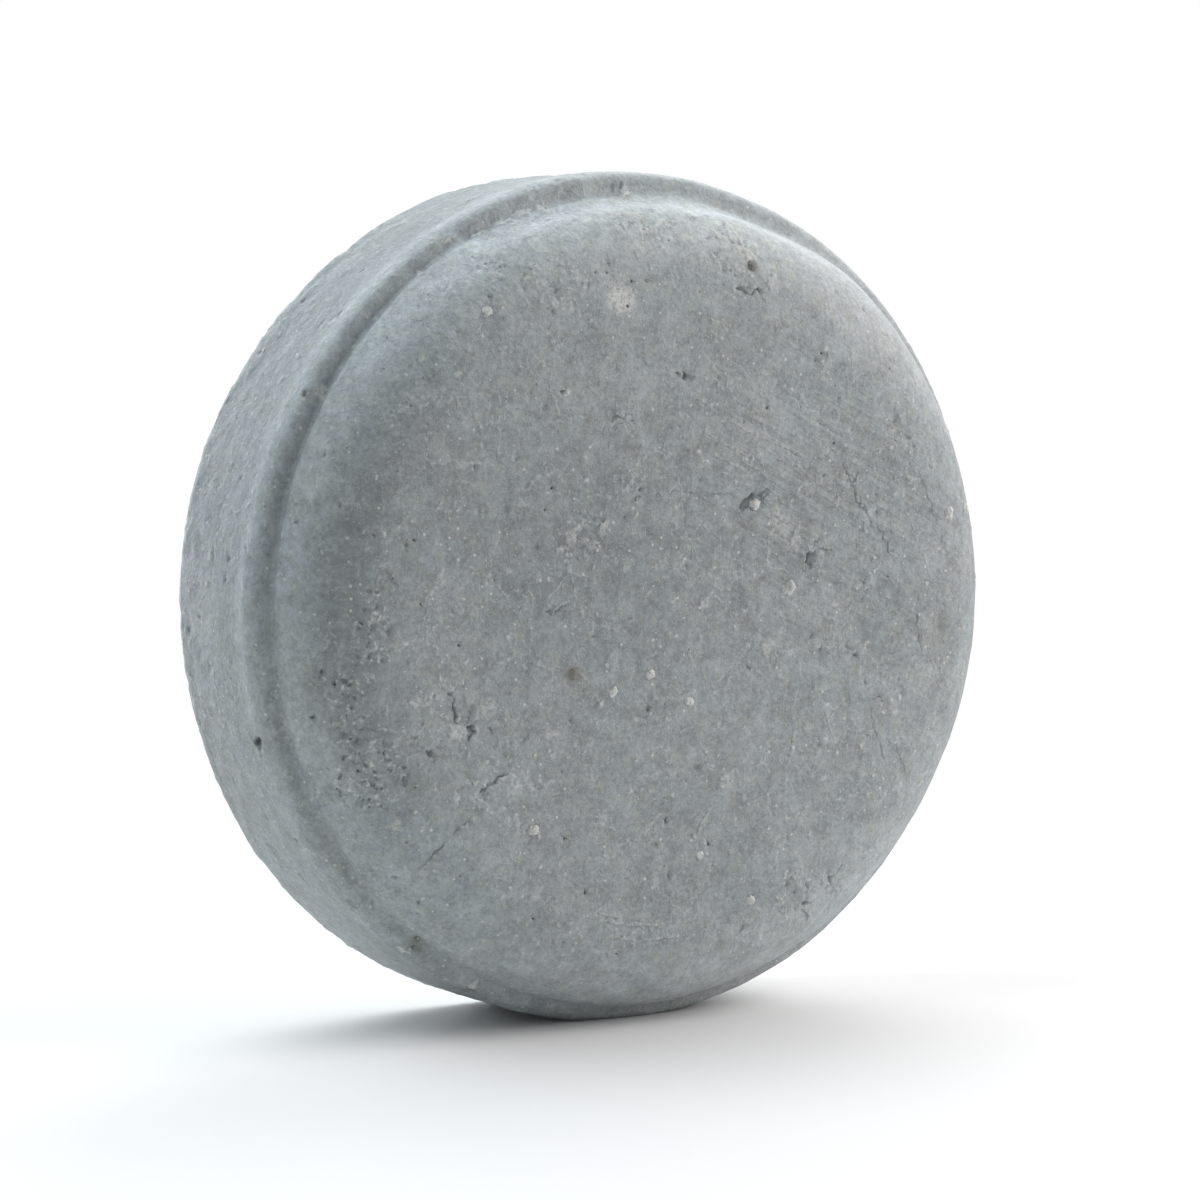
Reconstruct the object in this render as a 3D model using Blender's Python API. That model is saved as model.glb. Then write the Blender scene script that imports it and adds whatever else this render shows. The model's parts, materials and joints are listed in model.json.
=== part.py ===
"""Shaving soap puck, standing on its edge as it is shown for sale.

The puck is one moulded cake of soap: a flat back, a tapered wall, a rolled lip,
a ring groove and a raised front with a wide rounded shoulder that runs over a
slight crown into a flat.  Set in the front are loose grains that the soap was
pressed around.  Each of those is a solid of its own, lying in its own open pocket.

Frame: metres, +Z up.  The puck's axis runs along Y and its front faces -Y.  The
origin is under the middle of the puck, on the small flat that it stands on.
"""
import math

import bmesh
import bpy
from mathutils import Matrix, Vector, noise

MM = 0.001

# Driving dimensions of the puck
OUTER_RADIUS = 37.5 * MM
BACK_RADIUS = 37.35 * MM
THICKNESS = 21.9 * MM
BACK_EDGE_RADIUS = 1.1 * MM
LIP_RADIUS = 2.2 * MM
GROOVE_RADIUS = 0.9 * MM
SHOULDER_RADIUS = 8.7 * MM
CROWN_RADIUS = 45.0 * MM
FOOT_WIDTH = 11.0 * MM

# How far the surface has turned from the wall's direction towards the front
LIP_TURN = math.radians(62.0)
GROOVE_TURN = math.radians(17.5)
SHOULDER_TURN = math.radians(84.0)
FRONT_TURN = math.radians(90.0)

# Heights that follow from the driving dimensions
AXIS_HEIGHT = math.sqrt(OUTER_RADIUS ** 2 - (FOOT_WIDTH / 2) ** 2)
FRONT = THICKNESS / 2
CROWN_EDGE = (
    OUTER_RADIUS
    - LIP_RADIUS * (1 - math.cos(LIP_TURN))
    - GROOVE_RADIUS * (math.cos(GROOVE_TURN) - math.cos(LIP_TURN))
    - SHOULDER_RADIUS * (math.cos(GROOVE_TURN) - math.cos(SHOULDER_TURN))
)
FLAT_RADIUS = CROWN_EDGE - CROWN_RADIUS * math.cos(SHOULDER_TURN)
SHOULDER_TOP = FRONT - CROWN_RADIUS * (1 - math.sin(SHOULDER_TURN))
LIP_START = (
    SHOULDER_TOP
    - LIP_RADIUS * math.sin(LIP_TURN)
    - GROOVE_RADIUS * (math.sin(LIP_TURN) - math.sin(GROOVE_TURN))
    - SHOULDER_RADIUS * (math.sin(SHOULDER_TURN) - math.sin(GROOVE_TURN))
)

# Fineness of the turned body and of the grains
SEGMENTS = 96
EDGE_STEPS = 4
LIP_STEPS = 6
GROOVE_STEPS = 3
SHOULDER_STEPS = 9
CROWN_STEPS = 2
GRAIN_SUBDIVISIONS = 2
GRAIN_ROUGHNESS = 0.16
GRAIN_NOISE_SCALE = 1.4
GRAIN_NOISE_STEP = Vector((7.3, 3.1, 0.0))
SMOOTH_ANGLE = math.radians(35.0)

# Room between a grain and the wall of its pocket
GAP = 0.3 * MM
FOOT_CUTTER_HEIGHT = 10.0 * MM

# Each grain: name, place on the front (right and up from the puck's axis),
# half its length, width and thickness, how deep its middle lies, and its turn
# in the face.  All lengths are in millimetres and the turn is in degrees.
WHITE_GRAINS = (
    ("white_grain_in_pit", (8.2, 8.4), (0.62, 0.48, 0.42), 0.45, 20),
    ("white_grain_beside_pit", (11.7, 1.0), (0.75, 0.50, 0.40), 0.15, 55),
    ("white_grain_lower_left", (-14.4, -18.7), (0.58, 0.48, 0.42), 0.20, 0),
    ("white_grain_right_shoulder_inner", (29.3, 7.1), (0.62, 0.50, 0.42), 0.20, 80),
    ("white_grain_right_shoulder_outer", (32.1, 7.4), (0.50, 0.42, 0.38), 0.18, 35),
    ("white_grain_middle", (-2.7, -5.9), (0.52, 0.42, 0.36), 0.20, 15),
    ("white_grain_middle_left", (-6.4, -7.3), (0.45, 0.36, 0.34), 0.18, 70),
    ("white_grain_middle_low", (1.3, -8.4), (0.45, 0.38, 0.34), 0.18, 120),
    ("white_grain_low_upper", (2.4, -22.0), (0.45, 0.38, 0.34), 0.18, 40),
    ("white_grain_low_right", (7.8, -26.4), (0.52, 0.42, 0.36), 0.20, 160),
    ("white_grain_high_left", (-18.2, 25.4), (0.45, 0.38, 0.34), 0.18, 100),
)
BROWN_FLECKS = (
    ("brown_fleck_middle_left", (-10.5, -5.6), (0.65, 0.50, 0.34), 0.26, 30),
    ("brown_fleck_high_right", (8.1, 29.3), (0.55, 0.38, 0.34), 0.24, 140),
)
# Half the size of the wide pit that one grain lies in
PIT_HALF_SIZE = (1.25, 1.0, 0.85)
PIT_GRAIN = "white_grain_in_pit"


def clear_scene():
    """Start from an empty scene."""
    for thing in list(bpy.data.objects):
        bpy.data.objects.remove(thing, do_unlink=True)


def make_material(name, colour, roughness):
    """A plain Principled material."""
    material = bpy.data.materials.new(name)
    material.use_nodes = True
    shader = material.node_tree.nodes["Principled BSDF"]
    shader.inputs["Base Color"].default_value = (*colour, 1.0)
    shader.inputs["Roughness"].default_value = roughness
    shader.inputs["Metallic"].default_value = 0.0
    material.diffuse_color = (*colour, 1.0)
    return material


def add_object(name, bm, material=None):
    """Turn a bmesh into a named object."""
    mesh = bpy.data.meshes.new(name)
    bm.to_mesh(mesh)
    bm.free()
    thing = bpy.data.objects.new(name, mesh)
    bpy.context.scene.collection.objects.link(thing)
    if material:
        mesh.materials.append(material)
        mesh.shade_smooth()
        mesh.set_sharp_from_angle(angle=SMOOTH_ANGLE)
    return thing


def hide_cutter(cutter):
    """A cutter only shapes the puck and isn't part of it."""
    cutter.hide_render = True
    cutter.display_type = "WIRE"


def cut(target, cutter, name):
    """Take the cutter's shape out of the target."""
    hide_cutter(cutter)
    boolean = target.modifiers.new(name, "BOOLEAN")
    boolean.operation = "DIFFERENCE"
    boolean.solver = "EXACT"
    boolean.object = cutter


def arc(start, bend, turn_from, turn_to, steps):
    """Points along an arc that leaves start, as (radius, distance to the front).

    The turns are the angles of the surface away from the wall.  A positive bend
    is the radius of a rounded edge, and a negative one that of a hollow.
    """
    points = []
    for step in range(1, steps + 1):
        turn = turn_from + (turn_to - turn_from) * step / steps
        radius = start[0] + bend * (math.cos(turn) - math.cos(turn_from))
        forward = start[1] + bend * (math.sin(turn) - math.sin(turn_from))
        points.append((radius, forward))
    return points


def puck_profile():
    """The puck's half section from the rim of its back face to that of its front."""
    points = [(BACK_RADIUS - BACK_EDGE_RADIUS, -FRONT)]
    points += arc(points[-1], BACK_EDGE_RADIUS, -FRONT_TURN, 0.0, EDGE_STEPS)
    points.append((OUTER_RADIUS, LIP_START))
    points += arc(points[-1], LIP_RADIUS, 0.0, LIP_TURN, LIP_STEPS)
    points += arc(points[-1], -GROOVE_RADIUS, LIP_TURN, GROOVE_TURN, GROOVE_STEPS)
    points += arc(points[-1], SHOULDER_RADIUS, GROOVE_TURN, SHOULDER_TURN, SHOULDER_STEPS)
    points += arc(points[-1], CROWN_RADIUS, SHOULDER_TURN, FRONT_TURN, CROWN_STEPS)
    return points


def make_puck(material):
    """The cake of soap, turned about Y and closed by its two flat faces."""
    bm = bmesh.new()
    line = [bm.verts.new((radius, -forward, 0.0)) for radius, forward in puck_profile()]
    edges = [bm.edges.new(pair) for pair in zip(line, line[1:])]
    bmesh.ops.spin(
        bm, geom=line + edges, axis=(0, 1, 0), cent=(0, 0, 0),
        angle=math.tau, steps=SEGMENTS, use_merge=True,
    )
    rims = [edge for edge in bm.edges if edge.is_boundary]
    bmesh.ops.holes_fill(bm, edges=rims, sides=SEGMENTS)
    bmesh.ops.recalc_face_normals(bm, faces=bm.faces)
    bmesh.ops.translate(bm, vec=(0, 0, AXIS_HEIGHT), verts=bm.verts)
    return add_object("soap_puck", bm, material)


def make_foot_cutter():
    """A block below the origin, which leaves the small flat that the puck stands on."""
    bm = bmesh.new()
    bmesh.ops.create_cube(bm, size=1.0)
    block = Vector((OUTER_RADIUS, 2 * THICKNESS, FOOT_CUTTER_HEIGHT))
    bmesh.ops.scale(bm, vec=block, verts=bm.verts)
    bmesh.ops.translate(bm, vec=(0, 0, -FOOT_CUTTER_HEIGHT / 2), verts=bm.verts)
    return add_object("foot_cutter", bm)


def front_frame(right, up, depth, turn):
    """A frame on the front of the puck, its Z out of the soap, sunk by depth."""
    radius = math.hypot(right, up)
    outward = Vector((right, 0, up)).normalized()
    if radius <= FLAT_RADIUS:
        turn_here = FRONT_TURN
        forward = FRONT
    elif radius <= CROWN_EDGE:
        turn_here = math.acos((radius - FLAT_RADIUS) / CROWN_RADIUS)
        forward = FRONT - CROWN_RADIUS * (1 - math.sin(turn_here))
    else:
        reach = (radius - CROWN_EDGE) / SHOULDER_RADIUS + math.cos(SHOULDER_TURN)
        turn_here = math.acos(reach)
        forward = SHOULDER_TOP - SHOULDER_RADIUS * (math.sin(SHOULDER_TURN) - math.sin(turn_here))
    normal = outward * math.cos(turn_here) + Vector((0, -math.sin(turn_here), 0))
    middle = Vector((right, -forward, up + AXIS_HEIGHT)) - normal * depth
    facing = normal.to_track_quat("Z", "Y").to_matrix().to_4x4()
    return Matrix.Translation(middle) @ facing @ Matrix.Rotation(turn, 4, "Z")


def add_pebble(bm, half_size, place, seed):
    """An uneven rounded lump with the given half length, width and thickness."""
    made = bmesh.ops.create_icosphere(bm, subdivisions=GRAIN_SUBDIVISIONS, radius=1.0)
    for vertex in made["verts"]:
        bump = noise.noise(vertex.co * GRAIN_NOISE_SCALE + GRAIN_NOISE_STEP * seed)
        vertex.co *= 1.0 + GRAIN_ROUGHNESS * bump
    size = Matrix.Diagonal((*half_size, 1.0))
    bmesh.ops.transform(bm, matrix=place @ size, verts=made["verts"])


def make_grains(rows, material, pockets, first_seed):
    """Each grain as its own object, and its pocket in the shared cutter."""
    for seed, (name, place, half_size, depth, degrees) in enumerate(rows, first_seed):
        right, up = (value * MM for value in place)
        frame = front_frame(right, up, depth * MM, math.radians(degrees))
        grain = [half * MM for half in half_size]
        bm = bmesh.new()
        add_pebble(bm, grain, frame, seed)
        add_object(name, bm, material)
        if name == PIT_GRAIN:
            pocket = [half * MM for half in PIT_HALF_SIZE]
        else:
            pocket = [half + GAP for half in grain]
        add_pebble(pockets, pocket, frame, seed)


def build():
    """The whole puck."""
    clear_scene()
    soap = make_material("soap", (0.30, 0.33, 0.335), 0.62)
    white = make_material("white_grain", (0.74, 0.75, 0.72), 0.55)
    brown = make_material("brown_fleck", (0.10, 0.085, 0.06), 0.7)
    puck = make_puck(soap)
    pockets = bmesh.new()
    make_grains(WHITE_GRAINS, white, pockets, first_seed=1)
    make_grains(BROWN_FLECKS, brown, pockets, first_seed=len(WHITE_GRAINS) + 1)
    cut(puck, make_foot_cutter(), "standing flat")
    cut(puck, add_object("pocket_cutter", pockets), "grain pockets")


build()
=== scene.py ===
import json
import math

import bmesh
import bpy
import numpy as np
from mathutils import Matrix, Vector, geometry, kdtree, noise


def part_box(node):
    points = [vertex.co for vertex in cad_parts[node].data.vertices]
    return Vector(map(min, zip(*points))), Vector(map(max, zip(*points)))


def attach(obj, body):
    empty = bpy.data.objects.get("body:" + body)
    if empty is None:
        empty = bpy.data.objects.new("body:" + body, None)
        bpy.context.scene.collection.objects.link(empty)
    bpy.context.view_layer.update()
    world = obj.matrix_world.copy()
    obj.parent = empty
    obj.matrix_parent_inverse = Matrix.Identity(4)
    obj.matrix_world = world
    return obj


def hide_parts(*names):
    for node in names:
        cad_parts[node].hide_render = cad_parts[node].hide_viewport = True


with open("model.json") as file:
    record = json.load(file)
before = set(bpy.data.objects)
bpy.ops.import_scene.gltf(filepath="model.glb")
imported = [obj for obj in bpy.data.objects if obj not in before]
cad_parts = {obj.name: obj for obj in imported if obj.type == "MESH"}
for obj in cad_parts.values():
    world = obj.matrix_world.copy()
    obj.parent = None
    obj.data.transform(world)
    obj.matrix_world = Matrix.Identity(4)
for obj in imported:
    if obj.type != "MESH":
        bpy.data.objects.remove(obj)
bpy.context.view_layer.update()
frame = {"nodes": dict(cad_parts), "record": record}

# Looks of the shaving soap puck.
#
# One fine skin stands for the whole cake of soap.  Its points lie in rings round
# the puck's axis, with a finer cluster wherever the soap has a pit, crack, torn
# flake, crumb or pinhole.  The points are joined into triangles and then moved
# along the normal of the smooth turned shape.  Every grain is a lump of its own.
#
# Lengths are in millimetres from the puck's axis: x to the right of the front,
# z up, y backwards.  Only finished meshes, lights and the camera are in metres.

MM = 0.001
NODES = frame["nodes"]
MOUNTS = {mount["name"]: mount for mount in frame["record"]["mounts"]}


def add_object(name, data):
    """A new object in the scene."""
    item = bpy.data.objects.new(name, data)
    bpy.context.scene.collection.objects.link(item)
    return item


# ---- dimensions

BODY_LOW, BODY_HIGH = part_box("soap_puck")
OUTER_RADIUS = (BODY_HIGH.x - BODY_LOW.x) / 2 / MM
FRONT = (BODY_HIGH.y - BODY_LOW.y) / 2 / MM
AXIS_HEIGHT = MOUNTS["back_face"]["pos_m"][2] / MM

# The turned shape, as in the CAD part
WALL_TAPER = 0.15
BACK_EDGE_RADIUS = 1.1
LIP_RADIUS = 2.2
GROOVE_RADIUS = 0.9
SHOULDER_RADIUS = 8.7
CROWN_RADIUS = 45.0
LIP_TURN = math.radians(62.0)
GROOVE_TURN = math.radians(17.5)
SHOULDER_TURN = math.radians(84.0)
FRONT_TURN = math.radians(90.0)

# Fineness of the skin
ARC_STEP = 0.02
FRONT_SPACING = 0.49
BACK_SPACING = 0.95
FINE_SPACING = 0.105
CLUSTER_CLEARANCE = 0.24
JITTER = 0.22
RIM_SPACING = 0.6
ROW_SPACING = 0.866
LINE_SPACING = 0.07
LINE_ROWS = (-0.34, -0.17, -0.07, 0.07, 0.17, 0.34)
LINE_MARGIN = 0.4
MARK_MARGIN = 1.25
SEED = 20


# ---- turned skin

def arc(points, bend, turn_from, turn_to):
    """Add an arc to a half section of (radius, forward, turn) points."""
    start = points[-1]
    steps = max(4, int(abs(bend * (turn_to - turn_from)) / ARC_STEP))
    for step in range(1, steps + 1):
        turn = turn_from + (turn_to - turn_from) * step / steps
        radius = start[0] + bend * (math.cos(turn) - math.cos(turn_from))
        forward = start[1] + bend * (math.sin(turn) - math.sin(turn_from))
        points.append((radius, forward, turn))


def half_section():
    """The half section from the rim of the back face to the middle of the front."""
    inner = OUTER_RADIUS - LIP_RADIUS * (1 - math.cos(LIP_TURN))
    inner -= GROOVE_RADIUS * (math.cos(GROOVE_TURN) - math.cos(LIP_TURN))
    inner -= SHOULDER_RADIUS * (math.cos(GROOVE_TURN) - math.cos(SHOULDER_TURN))
    lip_start = FRONT - CROWN_RADIUS * (1 - math.sin(SHOULDER_TURN))
    lip_start -= LIP_RADIUS * math.sin(LIP_TURN)
    lip_start += GROOVE_RADIUS * (math.sin(GROOVE_TURN) - math.sin(LIP_TURN))
    lip_start -= SHOULDER_RADIUS * (math.sin(SHOULDER_TURN) - math.sin(GROOVE_TURN))
    points = [(OUTER_RADIUS - WALL_TAPER - BACK_EDGE_RADIUS, -FRONT, -FRONT_TURN)]
    arc(points, BACK_EDGE_RADIUS, -FRONT_TURN, 0.0)
    points.append((OUTER_RADIUS, lip_start, 0.0))
    arc(points, LIP_RADIUS, 0.0, LIP_TURN)
    arc(points, -GROOVE_RADIUS, LIP_TURN, GROOVE_TURN)
    arc(points, SHOULDER_RADIUS, GROOVE_TURN, SHOULDER_TURN)
    arc(points, CROWN_RADIUS, SHOULDER_TURN, FRONT_TURN)
    points.append((0.0, FRONT, FRONT_TURN))
    return points


class Skin:
    """The smooth turned surface, addressed by the way from its middle and the angle."""

    def __init__(self):
        section = np.array(half_section()[::-1])
        self.radius, self.forward, self.turn = section.T
        steps = np.hypot(np.diff(self.radius), np.diff(self.forward))
        self.way = np.concatenate([[0.0], np.cumsum(steps)])
        self.end = self.way[-1]
        self.wall_start = self.way_at_forward(0.0)
        middle = (self.radius[1:] + self.radius[:-1]) / 2
        self.log_map = np.concatenate([[0.0, 0.0], np.cumsum(steps[1:] / middle[1:])])
        self.map_start = self.radius[1]

    def at(self, way, angle):
        """Points and normals."""
        radius = np.interp(way, self.way, self.radius)
        forward = np.interp(way, self.way, self.forward)
        turn = np.interp(way, self.way, self.turn)
        cos_a, sin_a = np.cos(angle), np.sin(angle)
        points = np.stack([radius * cos_a, -forward, radius * sin_a], -1)
        side = np.cos(turn)
        normals = np.stack([side * cos_a, -np.sin(turn), side * sin_a], -1)
        return points, normals

    def point(self, place):
        """The point and normal at one place."""
        points, normals = self.at(np.array(place[:1]), np.array(place[1:]))
        return points[0], normals[0]

    def flat_map(self, way, angle):
        """An even map of the skin in the plane, which keeps small shapes as they are."""
        radius = np.interp(way, self.way, self.radius)
        far = self.map_start * np.exp(np.interp(way, self.way, self.log_map))
        mapped = np.where(way <= self.way[1], radius, far)
        return np.stack([mapped * np.cos(angle), mapped * np.sin(angle)], -1)

    def way_at_radius(self, radius):
        """The way to a radius on the front or its shoulder."""
        front = self.way <= self.way_at_groove()
        return np.interp(radius, self.radius[front], self.way[front])

    def way_at_groove(self):
        """The way to the bottom of the groove's inner flank."""
        inner = (self.turn > GROOVE_TURN) & (self.forward > 0)
        shoulder_end = np.argmax(~inner)
        return self.way[shoulder_end - 1]

    def way_at_forward(self, forward):
        """The way to a distance towards the front, on the lip or the wall."""
        return np.interp(-forward, -self.forward, self.way)

    def front_place(self, right, up):
        """Way and angle of a place seen straight from the front."""
        radius = math.hypot(right, up)
        return float(self.way_at_radius(radius)), math.atan2(up, right)

    def wall_place(self, degrees, forward):
        """Way and angle of a place on the wall, the lip or the groove."""
        return float(self.way_at_forward(forward)), math.radians(degrees)

    def around(self, place, across, upward):
        """Places that lie off a place, by amounts seen as right and up from the front."""
        way, angle = place
        outward = across * math.cos(angle) + upward * math.sin(angle)
        sideways = upward * math.cos(angle) - across * math.sin(angle)
        radius = float(np.interp(way, self.way, self.radius))
        if radius < self.radius[1]:
            x = way * math.cos(angle) + across
            z = way * math.sin(angle) + upward
            return np.hypot(x, z), np.arctan2(z, x)
        return way + outward, angle + sideways / radius


SKIN = Skin()


def ring_places(spacing, way_from, way_to, rng):
    """Evenly spread places in rings between two ways."""
    rows = max(1, round((way_to - way_from) / (spacing * ROW_SPACING)))
    ways, angles = [], []
    for row in range(rows):
        way = way_from + (way_to - way_from) * row / rows
        radius = float(np.interp(way, SKIN.way, SKIN.radius))
        count = max(1, round(math.tau * radius / spacing))
        shift = (row % 2) * 0.5
        angle = (np.arange(count) + shift) * math.tau / count
        wander = rng.uniform(-JITTER, JITTER, (2, count)) * spacing
        ways.append(np.maximum(way + wander[0], 0.0) if row else np.full(count, way))
        angles.append(angle + wander[1] / max(radius, spacing))
    return np.concatenate(ways), np.concatenate(angles)


# ---- marks in the soap

def smooth(value):
    """A smooth step from 0 to 1."""
    value = np.clip(value, 0.0, 1.0)
    return value * value * (3 - 2 * value)


def bell(offset, width):
    """A soft round bump: 1 at no offset, fading over the width."""
    return np.exp(-(offset / width) ** 2)


def toward(angle, degrees, narrow, fade):
    """1 on the side of the puck that lies at some degrees round it, 0 on the other side."""
    return smooth((np.cos(angle - math.radians(degrees)) - narrow) / fade)


def along(corners, spacing):
    """Evenly spaced points on a line through the corners."""
    corners = np.array(corners, float)
    lengths = np.hypot(*np.diff(corners, axis=0).T)
    reach = np.concatenate([[0.0], np.cumsum(lengths)])
    where = np.linspace(0.0, reach[-1], max(2, int(reach[-1] / spacing) + 1))
    return np.stack([np.interp(where, reach, axis) for axis in corners.T], -1), where / reach[-1]


class Round:
    """A pit, crumb, flake, pinhole or grain pocket: a mark with a ragged round outline."""

    def __init__(self, place, half, turn=0.0, depth=0.0, shape="pit", ragged=0.12,
                 pale=0.0, dark=0.0, stain=0.0, seed=0):
        self.place = place
        self.half = half
        self.turn = math.radians(turn)
        self.depth = depth
        self.shape = shape
        self.paint = {"pale": pale, "dark": dark, "stain": stain}
        rng = np.random.default_rng(seed + 100)
        # The steep side lies to the upper left; a scoop is painted dark on it as painted shade
        self.steep = math.radians(150 + rng.uniform(-25, 25))
        self.waves = [(k, ragged / math.sqrt(k), rng.uniform(0, math.tau)) for k in (2, 3, 5, 8)]
        self.reach = max(half) * (3.2 if stain else 1.7)

    def outline(self, bearing):
        """How far the ragged outline is from the even one."""
        result = np.ones_like(bearing)
        for count, size, phase in self.waves:
            result += size * np.sin(count * bearing + phase)
        return result

    def places(self):
        """The finer places that this mark needs."""
        spacing = min(0.11, max(FINE_SPACING, min(self.half) * 0.45))
        across, upward = [0.0], [0.0]
        rings = max(2, int(MARK_MARGIN * max(self.half) / spacing))
        for ring in range(1, rings + 1):
            share = MARK_MARGIN * ring / rings
            count = max(6, int(math.tau * share * max(self.half) / spacing))
            bearing = (np.arange(count) + 0.5 * (ring % 2)) * math.tau / count
            reach = share * self.outline(bearing)
            a = reach * self.half[0] * np.cos(bearing)
            b = reach * self.half[1] * np.sin(bearing)
            across.extend(a * math.cos(self.turn) - b * math.sin(self.turn))
            upward.extend(a * math.sin(self.turn) + b * math.cos(self.turn))
        return SKIN.around(self.place, np.array(across), np.array(upward))

    def apply(self, points, normals, field):
        """Move and paint the points near this mark."""
        middle, normal = SKIN.point(self.place)
        offset = points - middle
        near = np.flatnonzero(np.einsum("ij,ij->i", offset, offset) < self.reach ** 2)
        near = near[normals[near] @ normal > 0.3]
        right, up = local_axes(self.place, normal)
        x, z = offset[near] @ right, offset[near] @ up
        a = x * math.cos(self.turn) + z * math.sin(self.turn)
        b = z * math.cos(self.turn) - x * math.sin(self.turn)
        share = np.hypot(a / self.half[0], b / self.half[1])
        share = share / self.outline(np.arctan2(b / self.half[1], a / self.half[0]))
        inside = smooth((1.12 - share) / 0.3)
        slope = (x * math.cos(self.steep) + z * math.sin(self.steep)) / sum(self.half) * 2
        if self.shape == "bowl":
            move = -self.depth * np.sqrt(np.clip(1 - (share / 1.05) ** 2, 0, 1))
        elif self.shape == "pit":
            move = -self.depth * inside + 0.06 * self.depth * rim(share)
        elif self.shape == "scoop":
            move = -self.depth * inside * np.clip(0.55 + 0.55 * slope, 0.08, 1.0)
        elif self.shape == "crumb":
            move = self.depth * np.sqrt(np.clip(1 - (share / 1.1) ** 2, 0, 1))
        else:
            move = self.depth * inside * (0.75 + 0.25 * a / self.half[0])
        field["move"][near] += move
        # The dark paint is painted shade inside a pit or pinhole; on a flat patch it is a darker tone of the
        # soap
        covered = {
            "pale": smooth(1.5 - share * 1.25),
            "dark": inside,
            "stain": np.exp(-(share * 0.35) ** 2 * 2.2),
        }
        # Painted shade: on a scoop only the steep side is painted dark, like the shadow under its edge
        if self.shape == "scoop":
            covered["dark"] = smooth((1.15 - share) / 0.25) * smooth((slope - 0.15) / 0.5)
        for name, cover in covered.items():
            field[name][near] = np.maximum(field[name][near], self.paint[name] * cover)


def rim(share):
    """The slightly raised edge round a pit."""
    return bell(share - 1.25, 0.16)


def local_axes(place, normal):
    """Right and up along the skin, as seen from the front, at a place."""
    angle = place[1]
    outward = np.array([math.cos(angle), 0.0, math.sin(angle)])
    tangent = np.array([-math.sin(angle), 0.0, math.cos(angle)])
    along_way = np.cross(tangent, normal)
    if along_way @ outward < 0 or (abs(along_way @ outward) < 1e-6 and along_way[1] < 0):
        along_way = -along_way
    right = along_way * math.cos(angle) - tangent * math.sin(angle)
    up = along_way * math.sin(angle) + tangent * math.cos(angle)
    return right, up


def search_tree(points):
    """A tree that finds the nearest of some points."""
    tree = kdtree.KDTree(len(points))
    for row, point in enumerate(points):
        tree.insert(point, row)
    tree.balance()
    return tree


class Line:
    """A crack, scratch or seam: a wandering line, with one side lifted if asked."""

    def __init__(self, corners, width, depth, step, wander, pale, dark, spread, seed):
        shift = Vector((seed * 7.31, seed * 3.77, 1.3))
        self.line, self.share = along(corners, LINE_SPACING)
        for row, point in enumerate(self.line):
            at = Vector((*point, 0.0)) * 2.3 + shift
            push = np.array([noise.noise(at), noise.noise(at + Vector((9.3, -1.5, -7.9)))])
            self.line[row] = point + push * wander
        self.strength = [
            min(1.0, max(0.05, 0.62 + 1.5 * noise.noise(Vector((*point, 0.0)) * 0.75 + shift)))
            for point in self.line
        ]
        self.width, self.depth, self.step = width, depth, step
        self.pale, self.dark, self.spread = pale, dark, spread

    def line_places(self):
        """Way and angle of the points on the line."""
        x, z = self.line.T
        return SKIN.way_at_radius(np.hypot(x, z)), np.arctan2(z, x)

    def places(self):
        """The finer places along the line."""
        ways, angles = self.line_places()
        points, normals = SKIN.at(ways, angles)
        radius = np.interp(ways, SKIN.way, SKIN.radius)
        direction = np.gradient(points, axis=0)
        direction /= np.linalg.norm(direction, axis=1)[:, None] + 1e-12
        tangent = np.stack([-np.sin(angles), 0 * angles, np.cos(angles)], -1)
        along_way = np.cross(tangent, normals)
        flip = np.sign(np.einsum("ij,ij->i", along_way, np.stack(
            [np.cos(angles), 0 * angles + 1e-3, np.sin(angles)], -1)))
        along_way *= flip[:, None]
        side = np.cross(normals, direction)
        ways_out, angles_out = [ways], [angles]
        for offset in LINE_ROWS:
            shift = side * (offset + math.copysign(max(self.width - 0.1, 0), offset))
            ways_out.append(ways + np.einsum("ij,ij->i", shift, along_way))
            angles_out.append(angles + np.einsum("ij,ij->i", shift, tangent) / radius)
        return np.concatenate(ways_out), np.concatenate(angles_out)

    def apply(self, points, normals, field):
        """Move and paint the points near this line."""
        line, line_normals = SKIN.at(*self.line_places())
        direction = np.gradient(line, axis=0)
        tree = search_tree(line)
        low, high = line.min(0) - self.spread - LINE_MARGIN, line.max(0) + self.spread + LINE_MARGIN
        near = np.flatnonzero(((points > low) & (points < high)).all(1))
        for index in near:
            _, row, distance = tree.find(points[index])
            if distance > self.spread + LINE_MARGIN:
                continue
            fade = math.sin(math.pi * min(max(self.share[row], 0.03), 0.97)) ** 0.4 * self.strength[row]
            width = self.width * fade
            inside = max(0.0, 1 - distance / width)
            side = np.cross(line_normals[row], direction[row]) @ (points[index] - line[row])
            move = -self.depth * fade * inside ** 0.7
            if side > 0:
                edge = min(1.0, distance / (0.8 * width)) if self.depth else 1.0
                move += self.step * fade * edge * math.exp(-(distance / self.spread) ** 2)
                glow = self.pale * fade * math.exp(-((distance - width) / 0.13) ** 2)
                field["pale"][index] = max(field["pale"][index], glow)
            field["move"][index] += move
            # Painted shade: the inside of the crack or scratch is painted dark
            field["dark"][index] = max(field["dark"][index], self.dark * fade * inside ** 0.5)
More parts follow.
